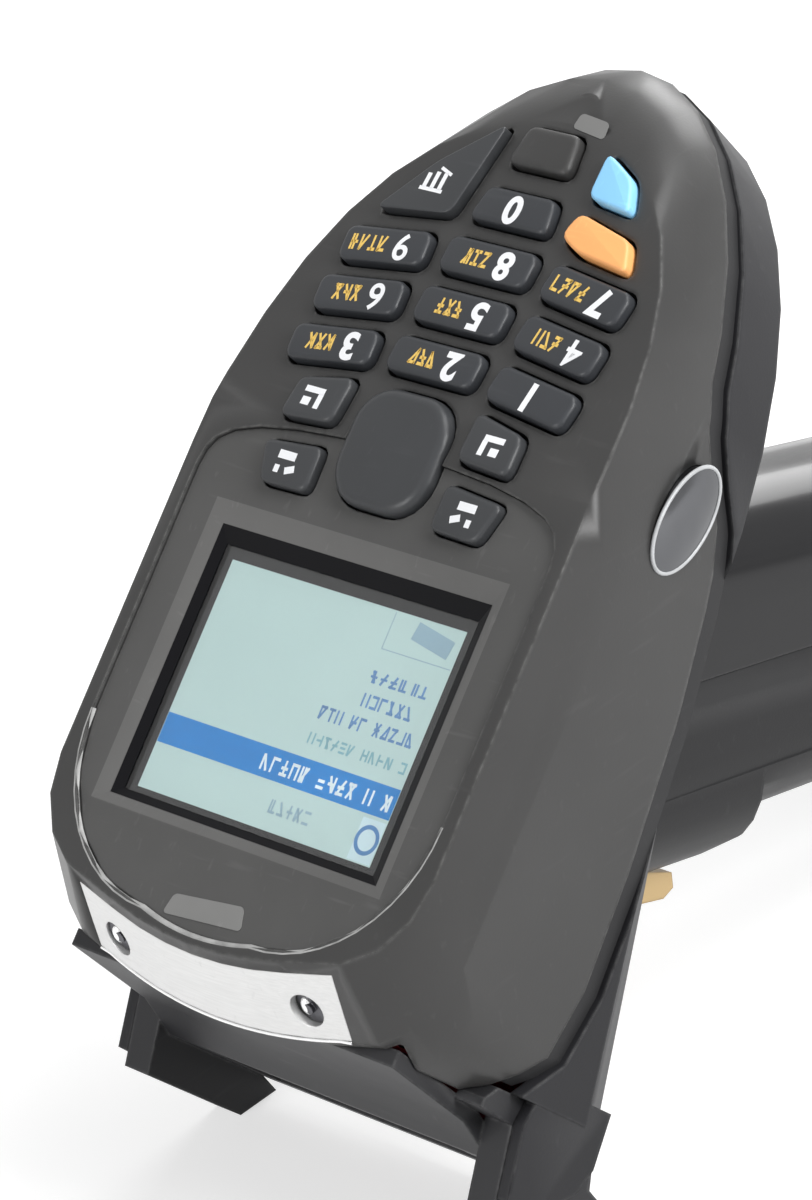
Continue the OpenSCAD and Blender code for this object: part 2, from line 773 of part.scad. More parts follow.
module grip_back() {
    color("#0e0e0f") lie() on_grip() difference() {
        intersection() {
            grip_volume(0);
            back_zone(-fit);
        }
        handle_volume(back_t);
        head_cut();
        translate([-big / 2, housing_front, -8]) cube(big);
    }
}

module trigger() {
    color("#c9a56a") lie() on_grip() difference() {
        union() {
            across(-trigger_w / 2, trigger_w / 2, [[-23, -10], [-27.5, -11], [-31, -18], [-32.8, -26],
                [-33.4, -33], [-32.2, -35], [-29.8, -34.6], [-28.2, -28], [-25.5, -22], [-21, -19]]);
            across(-3, 3, [[-29.5, -27], [-22, -27], [-22.3, -31], [-29.5, -32]]);
            translate([-trigger_w / 2, trigger_pivot[0], trigger_pivot[1]])
                rotate([0, 90, 0]) cylinder(r = pin_d / 2 + 2.2, h = trigger_w);
        }
        translate([-trigger_w, trigger_pivot[0], trigger_pivot[1]])
            rotate([0, 90, 0]) cylinder(d = pin_d + 2 * pin_play, h = 2 * trigger_w);
    }
}

module trigger_pin() {
    half = grip_w / 2 - 3.2;
    color("#c4c6c9") lie() on_grip() translate([-half, trigger_pivot[0], trigger_pivot[1]])
        rotate([0, 90, 0]) cylinder(d = pin_d, h = 2 * half);
}

spring_l = 2.6;

// Each coil is drawn as one sleeve with the leg that rests on the grip's wall
module trigger_springs() {
    coil_r = pin_d / 2 + 1;
    color("#b9bcc0") lie() on_grip() both_sides()
        translate([trigger_w / 2 + 0.5, trigger_pivot[0], trigger_pivot[1]]) difference() {
            union() {
                rotate([0, 90, 0]) cylinder(r = coil_r, h = spring_l);
                translate([0, coil_r - 1, 0]) cube([0.9, 0.9, 7]);
            }
            translate([-1, 0, 0]) rotate([0, 90, 0]) cylinder(d = pin_d + 2 * fit, h = spring_l + 2);
        }
}

module trigger_switch() {
    inner = grip_w / 2 - grip_wall - 0.7;
    color("#2a4f6d") lie() on_grip() {
        translate([-inner, -12, -40]) cube([2 * inner, 1.6, 14]);
        translate([-4, -17.8, -37]) cube([8, 5.8, 8]);
    }
}

module battery_pack() {
    color("#b4b7bb") lie() on_grip() translate([0, 0, battery_top - battery_l])
        linear_extrude(battery_l) polygon(rounded_box(battery_w, battery_d, 4));
}

module battery_contacts() {
    inner = grip_w / 2 - grip_wall - 0.2;
    color("#d6c48a") lie() on_grip() {
        translate([-inner, -7, battery_top + fit]) cube([2 * inner, 12, 3]);
    }
}

module butt_door() {
    color("#2a2a2c") lie() on_grip() difference() {
        union() {
            translate([0, 0, -grip_l - door_t]) linear_extrude(door_t - 0.2)
                polygon(grip_section(butt_front, butt_rear, grip_w - 1, 14));
            across(-6, 6, [[butt_rear - 8, -grip_l - door_t], [hinge_at[0], hinge_at[1] - knuckle_r],
                [hinge_at[0], hinge_at[1] + knuckle_r - 0.6], [butt_rear - 1, -grip_l - 0.2],
                [butt_rear - 8, -grip_l - 0.2]]);
            translate([-6, hinge_at[0], hinge_at[1]]) rotate([0, 90, 0])
                cylinder(r = knuckle_r, h = 12);
        }
        translate([-8, hinge_at[0], hinge_at[1]]) rotate([0, 90, 0])
            cylinder(d = hinge_d + 2 * pin_play, h = 16);
        for (x = [-1, 1]) translate([x * 8.7 - 2.6, butt_rear - 2.6, -big / 2 - 100])
            cube([5.2, 20, big]);
        translate([0, lock_y, -grip_l - door_t - 1]) cylinder(r = lock_r + pin_play, h = 3.4);
        translate([0, lock_y, -grip_l - door_t - 1]) cylinder(r = lock_r / 2 + pin_play, h = big);
        table_cut();
    }
}

// Everything under the table's top, seen from the grip's own frame
module table_cut() {
    rotate([-rake, 0, 0]) translate([0, -grip_foot[0], -grip_foot[1]]) rotate([-lean, 0, 0])
        translate([-big / 2, -big / 2, rest_z - big]) cube(big);
}

module door_pin() {
    color("#c4c6c9") lie() on_grip() translate([-11, hinge_at[0], hinge_at[1]])
        rotate([0, 90, 0]) cylinder(d = hinge_d, h = 22);
}

module door_lock() {
    color("#8f9194") lie() on_grip() difference() {
        union() {
            translate([0, lock_y, -grip_l - door_t]) cylinder(r = lock_r, h = 2.3);
            translate([0, lock_y, -grip_l - door_t]) cylinder(r = lock_r / 2, h = door_t + 2.4);
        }
        translate([-lock_r, lock_y - 0.5, -grip_l - door_t - 1]) cube([2 * lock_r, 1, 2]);
    }
}

module door_seal() {
    color("#1a1a1a") lie() on_grip() translate([0, 0, -grip_l - 0.2]) linear_extrude(1.5)
        difference() {
            polygon(seal_section(0.5));
            polygon(seal_section(2));
        }
}

function seal_section(d) = grip_section(butt_front + grip_wall + d, butt_rear - grip_wall - d,
    grip_w - 1 - 2 * (grip_wall + d), 14 - grip_wall - d);

module grip_dowels() {
    color("#9a9ca0") lie() on_grip() for (s = grip_dowels_at)
        translate([-grip_w / 2 + 3, s[0], s[1]]) rotate([0, 90, 0])
            cylinder(r = screw_r, h = grip_w - 6);
}

upper_shell();
display_bezel();
display_window();
lcd_panel();
lcd_tray();
keypad_mat();
keypad_board();
key_1();
key_2();
key_3();
key_4();
key_5();
key_6();
key_7();
key_8();
key_9();
key_0();
key_left_upper();
key_left_lower();
key_right_upper();
key_right_lower();
key_power();
key_plain();
key_blue();
key_orange();
nav_pad();
contact_strip();
contact_screws();
shell_gasket();
head_base();
scan_hood();
scan_window();
scan_engine();
engine_bracket();
side_lens_left();
side_lens_right();
main_board();
radio_card();
beeper();
grip_left();
grip_right();
grip_back();
trigger();
trigger_pin();
trigger_springs();
trigger_switch();
battery_pack();
battery_contacts();
butt_door();
door_pin();
door_lock();
door_seal();
head_screws();
grip_dowels();
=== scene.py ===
import json
import math
import random

import bmesh
import bpy
from mathutils import Matrix, Vector


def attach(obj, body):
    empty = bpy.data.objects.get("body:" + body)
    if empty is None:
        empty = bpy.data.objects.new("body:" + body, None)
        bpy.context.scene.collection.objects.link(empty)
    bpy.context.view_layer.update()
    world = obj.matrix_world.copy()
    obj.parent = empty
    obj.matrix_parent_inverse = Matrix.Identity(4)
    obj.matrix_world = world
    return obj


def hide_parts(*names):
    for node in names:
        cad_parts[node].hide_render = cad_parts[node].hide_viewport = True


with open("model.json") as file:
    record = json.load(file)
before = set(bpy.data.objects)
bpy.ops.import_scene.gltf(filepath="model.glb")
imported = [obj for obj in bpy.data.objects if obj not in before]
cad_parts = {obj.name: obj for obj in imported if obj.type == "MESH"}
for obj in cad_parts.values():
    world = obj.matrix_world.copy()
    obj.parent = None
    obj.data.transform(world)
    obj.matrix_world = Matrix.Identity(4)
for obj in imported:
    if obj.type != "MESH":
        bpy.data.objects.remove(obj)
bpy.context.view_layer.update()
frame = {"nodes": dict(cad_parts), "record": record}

mm = 0.001
bothSides = ((1, "Left"), (-1, "Right"))


def turned(degrees, axis):
    return Matrix.Rotation(math.radians(degrees), 4, axis)


def moved(x, y, z):
    return Matrix.Translation((x, y, z))


# how the terminal leans on the table and its keypad tips up, as in the part's source
stance = {"lean": 43, "shift": -74.92526, "lift": 74.97676}
keypadTilt = {"y": 37, "z": 2.8, "turn": -7.5}
onHead = (Matrix.Scale(mm, 4) @ moved(0, stance["shift"], stance["lift"])
          @ turned(stance["lean"], "X"))
onKeys = (onHead @ moved(0, keypadTilt["y"], keypadTilt["z"]) @ turned(keypadTilt["turn"], "X")
          @ moved(0, -keypadTilt["y"], 0))


def newGroup(name, inputs, outputs):
    group = bpy.data.node_groups.new(name, "ShaderNodeTree")
    for label, value in inputs.items():
        socket = group.interface.new_socket(label, in_out="INPUT", socket_type="NodeSocketFloat")
        socket.default_value = value
    for label in outputs:
        group.interface.new_socket(label, in_out="OUTPUT", socket_type="NodeSocketFloat")
    nodes = group.nodes
    given, result = nodes.new("NodeGroupInput"), nodes.new("NodeGroupOutput")
    return group, nodes, given.outputs, result.inputs, group.links.new


def setOrLink(link, socket, value):
    if isinstance(value, (int, float)):
        socket.default_value = value
    else:
        link(value, socket)


def mathNode(nodes, link, operation, first, second, clamp=False):
    node = nodes.new("ShaderNodeMath")
    node.operation = operation
    node.use_clamp = clamp
    setOrLink(link, node.inputs[0], first)
    setOrLink(link, node.inputs[1], second)
    return node.outputs[0]


def noiseNode(nodes, link, point, scale, detail):
    noise = nodes.new("ShaderNodeTexNoise")
    noise.inputs["Detail"].default_value = detail
    link(point, noise.inputs["Vector"])
    setOrLink(link, noise.inputs["Scale"], scale)
    return noise.outputs[0]


def objectPoint(nodes):
    return nodes.new("ShaderNodeTexCoord").outputs["Object"]


def stretchedPoint(nodes, link, stretch, turn=(0, 0, 0)):
    mapping = nodes.new("ShaderNodeMapping")
    mapping.inputs["Rotation"].default_value = turn
    mapping.inputs["Scale"].default_value = stretch
    link(objectPoint(nodes), mapping.inputs["Vector"])
    return mapping.outputs[0]


def roundedNormal(nodes, radius):
    rounded = nodes.new("ShaderNodeBevel")
    rounded.samples = 4
    rounded.inputs["Radius"].default_value = radius * mm
    return rounded.outputs[0]


# each layer: its detail, how much finer it is and its share of the height
mouldGrain = {"layers": ((2, 1.0, 0.65), (1, 2.7, 0.35)), "toneDetail": 4}


def makeGrainGroup():
    # the fine spark-eroded grain of moulded plastic, with slow changes of tone
    group, nodes, given, result, link = newGroup(
        "mouldGrain", {"Grain per metre": 2600, "Tone per metre": 60}, ["Height", "Tone"])
    point = objectPoint(nodes)
    heights = []
    for detail, finer, share in mouldGrain["layers"]:
        scale = mathNode(nodes, link, "MULTIPLY", given["Grain per metre"], finer)
        bumps = noiseNode(nodes, link, point, scale, detail)
        heights.append(mathNode(nodes, link, "MULTIPLY", bumps, share))
    link(mathNode(nodes, link, "ADD", *heights), result["Height"])
    tone = noiseNode(nodes, link, point, given["Tone per metre"], mouldGrain["toneDetail"])
    link(tone, result["Tone"])
    return group


edgeWear = {"radius": 0.7, "gain": 5.0, "from": 0.3, "contrast": 2.5, "detail": 3}


def makeWearGroup():
    # bright wear along convex edges, broken up by noise
    group, nodes, given, result, link = newGroup(
        "edgeWear", {"Amount": 0.5, "Break per metre": 700}, ["Mask"])
    dot = nodes.new("ShaderNodeVectorMath")
    dot.operation = "DOT_PRODUCT"
    link(roundedNormal(nodes, edgeWear["radius"]), dot.inputs[0])
    link(nodes.new("ShaderNodeNewGeometry").outputs["Normal"], dot.inputs[1])
    bend = mathNode(nodes, link, "SUBTRACT", 1.0, dot.outputs["Value"])
    edge = mathNode(nodes, link, "MULTIPLY", bend, edgeWear["gain"], True)
    patches = noiseNode(nodes, link, objectPoint(nodes), given["Break per metre"],
                        edgeWear["detail"])
    patches = mathNode(nodes, link, "SUBTRACT", patches, edgeWear["from"])
    patches = mathNode(nodes, link, "MULTIPLY", patches, edgeWear["contrast"], True)
    worn = mathNode(nodes, link, "MULTIPLY", edge, patches)
    link(mathNode(nodes, link, "MULTIPLY", worn, given["Amount"], True), result["Mask"])
    return group


# each way: the turn of its scuffs and how the noise is stretched along them
handScuffs = {"from": 0.66, "contrast": 9.0, "detail": 2, "tip": (0.3, 0.2),
              "ways": ((0.6, (900, 70, 500)), (-0.9, (80, 800, 420)))}


def makeScuffGroup():
    # short fine scuffs that hands and tables leave
    group, nodes, given, result, link = newGroup("handScuffs", {"Amount": 0.3}, ["Mask"])
    masks = []
    for turn, stretch in handScuffs["ways"]:
        point = stretchedPoint(nodes, link, stretch, (*handScuffs["tip"], turn))
        streaks = noiseNode(nodes, link, point, 1, handScuffs["detail"])
        streaks = mathNode(nodes, link, "SUBTRACT", streaks, handScuffs["from"])
        masks.append(mathNode(nodes, link, "MULTIPLY", streaks, handScuffs["contrast"], True))
    either = mathNode(nodes, link, "MAXIMUM", *masks)
    link(mathNode(nodes, link, "MULTIPLY", either, given["Amount"], True), result["Mask"])
    return group


grainGroup = makeGrainGroup()
wearGroup = makeWearGroup()
scuffGroup = makeScuffGroup()


def addGroup(nodes, group, **values):
    node = nodes.new("ShaderNodeGroup")
    node.node_tree = group
    for label, value in values.items():
        node.inputs[label.replace("_", " ")].default_value = value
    return node.outputs


def mixColours(nodes, link, factor, first, second):
    node = nodes.new("ShaderNodeMix")
    node.data_type = "RGBA"
    link(factor, node.inputs[0])
    for index, value in ((6, first), (7, second)):  # the node's two colour sockets
        if isinstance(value, tuple):
            node.inputs[index].default_value = (*value, 1)
        else:
            link(value, node.inputs[index])
    return node.outputs[2]


def newMaterial(name):
    material = bpy.data.materials.new(name)
    material.use_nodes = True
    nodes = material.node_tree.nodes
    return material, nodes, material.node_tree.links.new, nodes["Principled BSDF"]


def toned(colour, factor, lift=0.0):
    return tuple(min(1, channel * factor + lift) for channel in colour)


def variedRoughness(nodes, link, mask, least, swing):
    swung = mathNode(nodes, link, "MULTIPLY", mask, swing)
    return mathNode(nodes, link, "ADD", swung, least, True)


def linkBump(nodes, link, shader, height, depth, edge):
    bump = nodes.new("ShaderNodeBump")
    bump.inputs["Distance"].default_value = depth * mm
    bump.inputs["Strength"].default_value = 1
    link(height, bump.inputs["Height"])
    if edge:
        link(roundedNormal(nodes, edge), bump.inputs["Normal"])
    link(bump.outputs[0], shader.inputs["Normal"])


# depth and edge are in mm, grain and tone per metre, colours linear
plasticUsual = {"grain": 2600, "tone": 60, "dark": 0.82, "light": 1.18, "depth": 0.02,
                "edge": 0, "scuff": 0.25, "scuffed": (1.5, 0.01), "rubbed": 0.12, "wear": 0,
                "swing": 0.16, "gloss": 0.5, "coat": 0, "coatRough": 0.08}


def mouldedPlastic(name, ownLook):
    look = {**plasticUsual, **ownLook}
    material, nodes, link, shader = newMaterial(name)
    grain = addGroup(nodes, grainGroup, Grain_per_metre=look["grain"], Tone_per_metre=look["tone"])
    scuff = addGroup(nodes, scuffGroup, Amount=look["scuff"])
    colour = look["colour"]
    base = mixColours(nodes, link, grain["Tone"], toned(colour, look["dark"]),
                      toned(colour, look["light"]))
    base = mixColours(nodes, link, scuff["Mask"], base, toned(colour, *look["scuffed"]))
    if look["wear"]:
        wear = addGroup(nodes, wearGroup, Amount=look["wear"])
        base = mixColours(nodes, link, wear["Mask"], base, look["worn"])
    link(base, shader.inputs["Base Color"])
    varied = variedRoughness(nodes, link, grain["Tone"], look["rough"] - look["swing"] / 2,
                             look["swing"])
    rubbed = mathNode(nodes, link, "MULTIPLY", scuff["Mask"], look["rubbed"])
    link(mathNode(nodes, link, "SUBTRACT", varied, rubbed, True), shader.inputs["Roughness"])
    linkBump(nodes, link, shader, grain["Height"], look["depth"], look["edge"])
    shader.inputs["Specular IOR Level"].default_value = look["gloss"]
    if look["coat"]:
        shader.inputs["Coat Weight"].default_value = look["coat"]
        shader.inputs["Coat Roughness"].default_value = look["coatRough"]
    return material


metalUsual = {"stretch": (120, 4000, 4000), "detail": 3, "dark": 0.86, "light": 1.1,
              "scuff": 0.3, "scuffed": 0.7, "metallic": 1, "swing": 0.18, "depth": 0.004,
              "edge": 0.2}


def brushedMetal(name, ownLook):
    look = {**metalUsual, **ownLook}
    material, nodes, link, shader = newMaterial(name)
    point = stretchedPoint(nodes, link, look["stretch"])
    lines = noiseNode(nodes, link, point, 1, look["detail"])
    colour = look["colour"]
    base = mixColours(nodes, link, lines, toned(colour, look["dark"]),
                      toned(colour, look["light"]))
    scuff = addGroup(nodes, scuffGroup, Amount=look["scuff"])
    base = mixColours(nodes, link, scuff["Mask"], base, toned(colour, look["scuffed"]))
    link(base, shader.inputs["Base Color"])
    shader.inputs["Metallic"].default_value = look["metallic"]
    varied = variedRoughness(nodes, link, lines, look["rough"] - look["swing"] / 2, look["swing"])
    link(varied, shader.inputs["Roughness"])
    linkBump(nodes, link, shader, lines, look["depth"], look["edge"])
    return material


glassUsual = {"tone": 70, "ior": 1.45}


def clearGlass(name, ownLook):
    # smear is how much rougher the glass is where it was wiped
    look = {**glassUsual, **ownLook}
    material, nodes, link, shader = newMaterial(name)
    shader.inputs["Base Color"].default_value = (*look["colour"], 1)
    shader.inputs["Transmission Weight"].default_value = 1
    shader.inputs["IOR"].default_value = look["ior"]
    grain = addGroup(nodes, grainGroup, Tone_per_metre=look["tone"])
    varied = variedRoughness(nodes, link, grain["Tone"], look["rough"], look["smear"])
    link(varied, shader.inputs["Roughness"])
    return material


def litScreen(name, look):
    # pale liquid crystal, uneven in tone and faintly ruled by its rows of dots
    material, nodes, link, shader = newMaterial(name)
    grain = addGroup(nodes, grainGroup, Tone_per_metre=look["tone"])
    rows = nodes.new("ShaderNodeTexWave")
    rows.bands_direction = "X"
    rows.inputs["Scale"].default_value = look["rows"]
    link(objectPoint(nodes), rows.inputs["Vector"])
    base = mixColours(nodes, link, grain["Tone"], look["darker"], look["colour"])
    fade = mathNode(nodes, link, "MULTIPLY", rows.outputs["Fac"], look["rowDepth"])
    base = mixColours(nodes, link, fade, base, toned(look["colour"], look["rowDark"]))
    link(base, shader.inputs["Base Color"])
    link(base, shader.inputs["Emission Color"])
    shader.inputs["Emission Strength"].default_value = look["glow"]
    shader.inputs["Roughness"].default_value = look["rough"]
    shader.inputs["Specular IOR Level"].default_value = look["gloss"]
    return material


plastics = {
    "shell": {"colour": (0.038, 0.0376, 0.0372), "rough": 0.36, "edge": 0.9, "wear": 0.5,
              "worn": (0.34, 0.34, 0.33), "gloss": 0.22, "coat": 0.2, "coatRough": 0.3},
    "bezel": {"colour": (0.078, 0.0775, 0.0765), "rough": 0.42, "gloss": 0.22, "edge": 0.5,
              "wear": 0.45, "worn": (0.36, 0.36, 0.35), "scuff": 0.35},
    # the paler grey of the recess slopes is painted light
    "bezelSlopePaintedLight": {"colour": (0.12, 0.119, 0.117), "rough": 0.5, "gloss": 0.2, "edge": 0.5,
                   "scuff": 0.3},
    "plate": {"colour": (0.19, 0.19, 0.186), "rough": 0.3, "depth": 0.004, "scuff": 0.3},
    "base": {"colour": (0.016, 0.016, 0.018), "rough": 0.45, "gloss": 0.2, "edge": 0.9,
             "wear": 0.35, "worn": (0.2, 0.2, 0.2)},
    "hood": {"colour": (0.024, 0.024, 0.026), "rough": 0.45, "gloss": 0.22, "edge": 0.7,
             "wear": 0.4, "worn": (0.26, 0.26, 0.26)},
    "grip": {"colour": (0.014, 0.014, 0.015), "rough": 0.42, "gloss": 0.2, "edge": 0.8,
             "wear": 0.1, "worn": (0.0608, 0.0608, 0.063)},
    "grip_back": {"colour": (0.005, 0.005, 0.006), "rough": 0.2, "edge": 0.5, "depth": 0.002,
                  "gloss": 0.25, "scuff": 0.12, "coat": 0.15, "coatRough": 0.05},
    "gasket": {"colour": (0.008, 0.008, 0.009), "rough": 0.7, "grain": 1800, "depth": 0.03},
    "digit_key": {"colour": (0.034, 0.0365, 0.041), "rough": 0.36, "gloss": 0.3, "grain": 3400,
                  "depth": 0.006, "wear": 0.25, "worn": (0.14, 0.145, 0.155), "scuff": 0.2},
    "side_key": {"colour": (0.04, 0.042, 0.045), "rough": 0.36, "gloss": 0.3, "grain": 3400,
                 "depth": 0.006, "wear": 0.25, "worn": (0.13, 0.13, 0.14), "scuff": 0.2},
    "blue_key": {"colour": (0.28, 0.64, 1.0), "rough": 0.42, "depth": 0.008, "dark": 0.94,
                 "light": 1.05},
    "orange_key": {"colour": (1.0, 0.45, 0.16), "rough": 0.42, "depth": 0.008, "dark": 0.94,
                   "light": 1.04},
    "trigger": {"colour": (0.55, 0.39, 0.19), "rough": 0.5, "edge": 0.5, "depth": 0.01,
                "dark": 0.88, "light": 1.1},
    "door": {"colour": (0.036, 0.036, 0.038), "rough": 0.5, "edge": 0.6, "wear": 0.3,
             "worn": (0.1092, 0.1092, 0.1136)},
    "mat": {"colour": (0.012, 0.012, 0.013), "rough": 0.75, "grain": 1500},
    "tray": {"colour": (0.6, 0.6, 0.57), "rough": 0.55},
    "board": {"colour": (0.015, 0.1, 0.045), "rough": 0.35, "tone": 300, "dark": 0.7,
              "light": 1.3},
    "engine": {"colour": (0.02, 0.02, 0.022), "rough": 0.5},
    "beeper": {"colour": (0.012, 0.012, 0.012), "rough": 0.5},
    "switch": {"colour": (0.03, 0.08, 0.14), "rough": 0.45},
    "battery": {"colour": (0.4, 0.41, 0.43), "rough": 0.45},
    "whiteInk": {"colour": (0.8, 0.81, 0.83), "rough": 0.5, "depth": 0.003, "dark": 0.93},
    "amberInk": {"colour": (0.75, 0.5, 0.12), "rough": 0.5, "depth": 0.003, "dark": 0.9},
    # the pale rim bead is edge wear and a painted edge highlight
    "wornRimAndHighlight": {"colour": (0.33, 0.33, 0.325), "rough": 0.36, "tone": 420, "dark": 0.3,
                "light": 1.7},
    # the bright lens rings are a polished bezel with a painted highlight
    "lensRimAndHighlight": {"colour": (0.45, 0.46, 0.47), "rough": 0.25, "tone": 300, "dark": 0.6,
                  "light": 1.3},
}
screenInk = {"rough": 0.5, "gloss": 0.1, "depth": 0.001, "scuff": 0}
screenInks = {
    "screenBlue": {**screenInk, "colour": (0.002, 0.21, 0.58)},
    "screenText": {**screenInk, "colour": (0.12, 0.27, 0.52)},
    "screenTeal": {**screenInk, "colour": (0.22, 0.44, 0.5)},
    "screenPale": {**screenInk, "colour": (0.6, 0.76, 0.8)},
    "screenWhite": {**screenInk, "colour": (0.75, 0.86, 0.92)},
    "screenGrey": {**screenInk, "colour": (0.28, 0.42, 0.5)},
    # this black is the screen's printed frame and also a painted shadow in the display recess
    "blackPrintAndShadow": {**screenInk, "colour": (0.003, 0.003, 0.004), "rough": 0.4},
}
metals = {
    "silver": {"colour": (0.7, 0.7, 0.695), "rough": 0.34, "metallic": 0.6, "edge": 0.3},
    "contact": {"colour": (0.1, 0.1, 0.11), "rough": 0.35},
    "chrome": {"colour": (0.86, 0.86, 0.86), "rough": 0.16, "scuff": 0.1},
    "bracket": {"colour": (0.6, 0.61, 0.63), "rough": 0.35},
    "can": {"colour": (0.58, 0.59, 0.6), "rough": 0.3},
    "side_lens": {"colour": (0.11, 0.112, 0.118), "rough": 0.15, "scuff": 0.1,
                  "metallic": 0.9, "stretch": (150, 260, 90)},
    "steel": {"colour": (0.55, 0.55, 0.56), "rough": 0.3},
    "gold": {"colour": (0.8, 0.6, 0.25), "rough": 0.28},
}
glasses = {
    "window": {"colour": (0.97, 0.985, 0.99), "rough": 0.0, "smear": 0.006},
    "scan_glass": {"colour": (0.22, 0.015, 0.02), "rough": 0.02, "smear": 0.06},
}
screens = {
    "lcd": {"colour": (0.42, 0.55, 0.535), "darker": (0.36, 0.485, 0.47), "tone": 38,
            "rows": 900, "rowDepth": 0.06, "rowDark": 0.6, "glow": 0.24, "rough": 0.5,
            "gloss": 0.15},
}
finishes = {}
for make, looks in ((mouldedPlastic, plastics), (mouldedPlastic, screenInks),
                    (brushedMetal, metals), (clearGlass, glasses), (litScreen, screens)):
    for name, look in looks.items():
        finishes[name] = make(name, look)
print("materials:", len(finishes))

slotOf = {row["node"]: row["material_slot"] for row in frame["record"]["subparts"]}


def dress(obj, slot, body):
    obj.data.materials.clear()
    obj.data.materials.append(finishes[slot])
    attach(obj, body)


def finishMesh(bm, name, slot, body, placement=None, smooth=None, recalc=True):
    if placement is not None:
        bmesh.ops.transform(bm, matrix=placement, verts=bm.verts)
    if recalc:
        bmesh.ops.recalc_face_normals(bm, faces=bm.faces)
    mesh = bpy.data.meshes.new(name)
    bm.to_mesh(mesh)
    bm.free()
    if smooth is not None:
        for face in mesh.polygons:
            face.use_smooth = True
        mesh.set_sharp_from_angle(angle=math.radians(smooth))
    obj = bpy.data.objects.new(name, mesh)
    bpy.context.collection.objects.link(obj)
    dress(obj, slot, body)
    return obj


merging = {"gap": 0.002, "flat": 0.4}  # mm and degrees


def mergedCopy(node):
    bm = bmesh.new()
    bm.from_mesh(frame["nodes"][node].data)
    bmesh.ops.remove_doubles(bm, verts=bm.verts, dist=merging["gap"] * mm)
    bmesh.ops.dissolve_limit(bm, angle_limit=math.radians(merging["flat"]), verts=bm.verts,
                             edges=bm.edges)
    return bm


def standIn(bm, node, slot, body, name, smooth):
    # the reworked copy takes the node's place; its faces already point outwards
    obj = finishMesh(bm, name, slot, body, smooth=smooth, recalc=False)
    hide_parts(node)


# each node: its finish, its body, the copy's name and the angle that still shades smoothly
shells = {
    "upper_shell": ("shell", "terminal", "upperShell", 34),
    "display_bezel": ("bezel", "terminal", "displayBezel", 28),
    "head_base": ("base", "terminal", "headBase", 34),
    "scan_hood": ("hood", "terminal", "scanHood", 30),
    "shell_gasket": ("gasket", "terminal", "blackBand", 34),
    "grip_left": ("grip", "terminal", "gripLeft", 34),
    "grip_right": ("grip", "terminal", "gripRight", 34),
    "grip_back": ("grip_back", "terminal", "gripBack", 40),
    "contact_strip": ("silver", "terminal", "silverStrip", 30),
    "trigger": ("trigger", "trigger_body", "triggerLever", 40),
    "butt_door": ("door", "door_body", "buttDoor", 34),
}
for node, (slot, body, name, smooth) in shells.items():
    standIn(mergedCopy(node), node, slot, body, name, smooth)

# the faces of the bezel that slope down to the display are painted a paler grey: painted light on
# the slopes, picked out by which way the faces point
recess = {"halfWidth": 28, "front": -21, "rear": 25, "flattest": 0.97, "steepest": 0.1,
          "slot": "bezelSlopePaintedLight"}
toHead = onHead.inverted()
bezelMesh = bpy.data.objects["displayBezel"].data
bezelMesh.materials.append(finishes[recess["slot"]])
for face in bezelMesh.polygons:
    spot = toHead @ face.center
    rise = (toHead.to_3x3() @ face.normal).normalized().z
    inside = abs(spot.x) < recess["halfWidth"] and recess["front"] < spot.y < recess["rear"]
    if inside and recess["steepest"] < rise < recess["flattest"]:
        face.material_index = 1

dome = {"rise": 0.8, "steps": 6, "press": 0.93, "smooth": 50}


def domedLens(node, name, sign):
    # the lens with its flat outer face raised to a shallow dome
    bm = mergedCopy(node)
    crown = max(bm.faces, key=lambda face: sign * face.calc_center_median().x)
    reach = 1.0
    for step in range(dome["steps"]):
        inner = dome["press"] * (1 - (step + 1) / (dome["steps"] + 1))
        middle = crown.calc_center_median()
        crown = bmesh.ops.extrude_discrete_faces(bm, faces=[crown])["faces"][0]
        lift = dome["rise"] * mm * (reach ** 2 - inner ** 2)
        for vert in crown.verts:
            vert.co = middle + (vert.co - middle) * (inner / reach)
            vert.co.x += sign * lift
        reach = inner
    standIn(bm, node, "side_lens", "terminal", name, dome["smooth"])


domedLens("side_lens_left", "sideLensLeft", 1)
domedLens("side_lens_right", "sideLensRight", -1)
print("shells dressed")

# press is the way in which the keys of each plane go down
press = {"keys": Vector((0, 0.5807, -0.8141)), "panel": Vector((0, 0.682, -0.7314))}
panelKeys = ("key_left_lower", "key_right_lower", "nav_pad")
keyCap = {"rim": 0.7, "padRim": 1.5, "steps": 4, "level": 0.98, "smooth": 40}


def cappedKey(node, slot, down, width):
    # the key with the rim of its top rounded over
    bm = mergedCopy(node)
    bm.normal_update()
    rim = []
    for edge in bm.edges:
        up = [face.normal.dot(down) < -keyCap["level"] for face in edge.link_faces]
        if len(up) == 2 and up[0] != up[1]:
            rim.append(edge)
    bmesh.ops.bevel(bm, geom=rim, offset=width * mm, segments=keyCap["steps"], profile=0.5,
                    affect="EDGES", material=-1, clamp_overlap=True)
    standIn(bm, node, slot, node + "_body", "cap_" + node, keyCap["smooth"])


for node in sorted(frame["nodes"]):
    if node.startswith("key_") or node == "nav_pad":
        cappedKey(node, "shell" if node == "key_plain" else slotOf[node],
                  press["panel" if node in panelKeys else "keys"],
                  keyCap["padRim" if node == "nav_pad" else "rim"])

# strokes in shares of a letter: the middle across and along, the width, the length, the turn
pen = random.Random(11)
letterPitch = 1.22
strokes = {"up": (-0.36, 0, 0.24, 1, 0), "mid": (0, 0, 0.24, 1, 0), "far": (0.36, 0, 0.24, 1, 0),
           "top": (0, 0.4, 0.9, 0.2, 0), "foot": (0, -0.4, 0.9, 0.2, 0),
           "bar": (0, 0, 0.8, 0.2, 0), "lean": (0, 0, 0.26, 1.1, 24),
           "back": (0, 0, 0.26, 1.1, -24)}


def addBlock(bm, placement, size, turn):
    bmesh.ops.create_cube(bm, size=1, matrix=placement @ turned(turn, "Z")
                          @ Matrix.Diagonal((*size, 1)))


